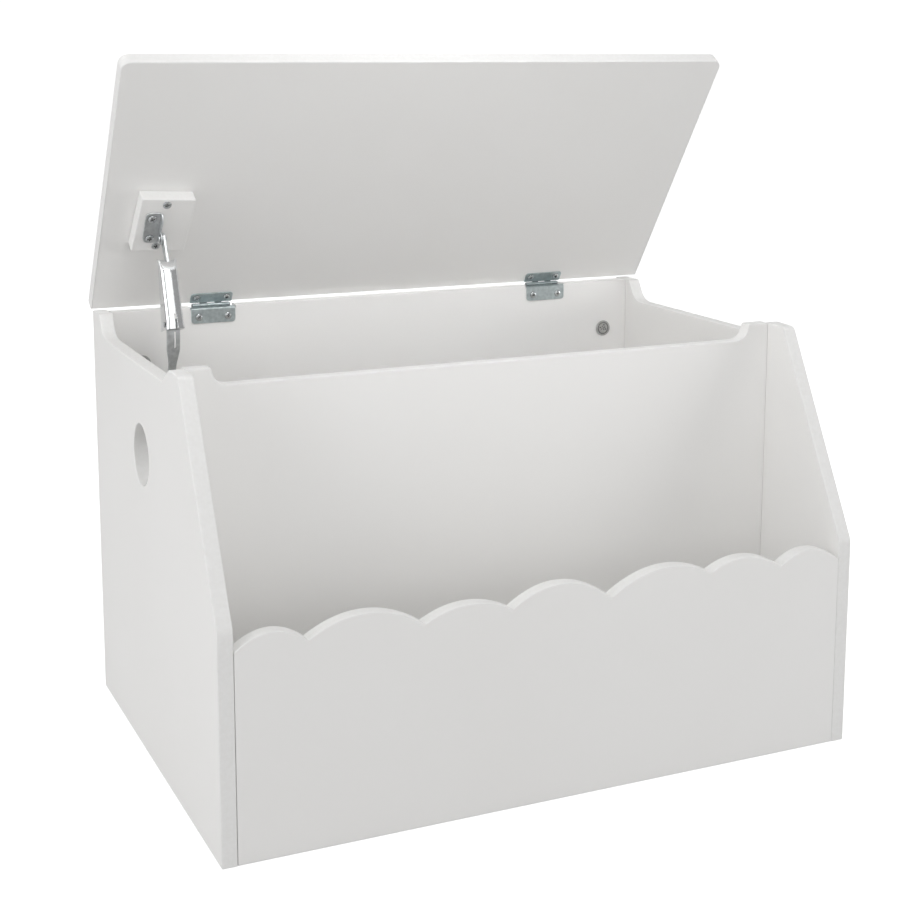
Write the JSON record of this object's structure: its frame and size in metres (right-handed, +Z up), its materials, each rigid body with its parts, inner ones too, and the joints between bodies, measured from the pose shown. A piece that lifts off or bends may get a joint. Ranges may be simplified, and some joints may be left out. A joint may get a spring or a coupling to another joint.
{
  "type": "storage bench",
  "caption": "White board storage bench: chest under a hinged lid with a folding stay, open pocket behind a scalloped front, hand holes in the side panels",
  "frame": {"origin": "centre of the footprint at floor level, below the middle of the bounding box in the stored pose with the lid open", "axes": "X across the bench to the right, Y to the rear with the scalloped front at -Y, Z up"},
  "size_m": [0.68, 0.46, 0.7057],
  "materials": {
    "white_paint": "satin white paint over fibreboard, eased edges",
    "blue_zinc": "blue-passivated zinc plate on pressed steel",
    "bright_steel": "zinc-plated steel, lightly scratched",
    "plain_steel": "dull zinc-plated pressed steel",
    "chrome": "bright chrome plate on folded sheet",
    "cast_zinc": "dull die-cast zinc"
  },
  "bodies": {
    "case": {"back_panel": "white_paint", "cam_back_l_low": "cast_zinc", "cam_back_l_top": "cast_zinc", "cam_back_r_low": "cast_zinc", "cam_back_r_top": "cast_zinc", "cam_divider_l_low": "cast_zinc", "cam_divider_l_top": "cast_zinc", "cam_divider_r_low": "cast_zinc", "cam_divider_r_top": "cast_zinc", "divider": "white_paint", "floor_panel": "white_paint", "front_panel": "white_paint", "hinge_l_case_leaf": "blue_zinc", "hinge_l_pin": "bright_steel", "hinge_r_case_leaf": "blue_zinc", "hinge_r_pin": "bright_steel", "screw_foot_1": "bright_steel", "screw_foot_2": "bright_steel", "screw_l_case_1": "bright_steel", "screw_l_case_2": "bright_steel", "screw_r_case_1": "bright_steel", "screw_r_case_2": "bright_steel", "side_block": "white_paint", "side_left": "white_paint", "side_right": "white_paint", "stay_foot": "plain_steel"},
    "lid": {"lid": "white_paint", "lid_block": "white_paint", "hinge_l_lid_leaf": "blue_zinc", "hinge_r_lid_leaf": "blue_zinc", "screw_l_lid_1": "bright_steel", "screw_l_lid_2": "bright_steel", "screw_r_lid_1": "bright_steel", "screw_r_lid_2": "bright_steel", "stay_bracket": "plain_steel", "screw_bracket_1": "bright_steel", "screw_bracket_2": "bright_steel", "screw_block_1": "bright_steel", "screw_block_2": "bright_steel", "stay_rivet": "bright_steel"},
    "stay_upper": {"stay_arm": "plain_steel", "stay_housing": "chrome", "stay_elbow_pin": "bright_steel"},
    "stay_lower": {"stay_lower_arm": "plain_steel"}
  },
  "joints": [
    {"name": "lid_hinge", "type": "hinge", "parent": "case", "child": "lid", "pos_m": [0, 0.2145, 0.43], "axis": [1, 0, 0], "range_deg": [0, 57.8]},
    {"name": "stay_pivot", "type": "hinge", "parent": "lid", "child": "stay_upper", "pos_m": [-0.281, 0.13022, 0.51612], "axis": [1, 0, 0], "range_deg": [-57.8, 0]},
    {"name": "stay_foot_pivot", "type": "hinge", "parent": "case", "child": "stay_lower", "pos_m": [-0.281, 0.17778, 0.34538], "axis": [1, 0, 0], "range_deg": [0, 57.8]}
  ],
  "couplings": [
    {"joint": "stay_pivot", "follows": "lid_hinge", "ratio": -1},
    {"joint": "stay_foot_pivot", "follows": "lid_hinge", "ratio": 1}
  ]
}
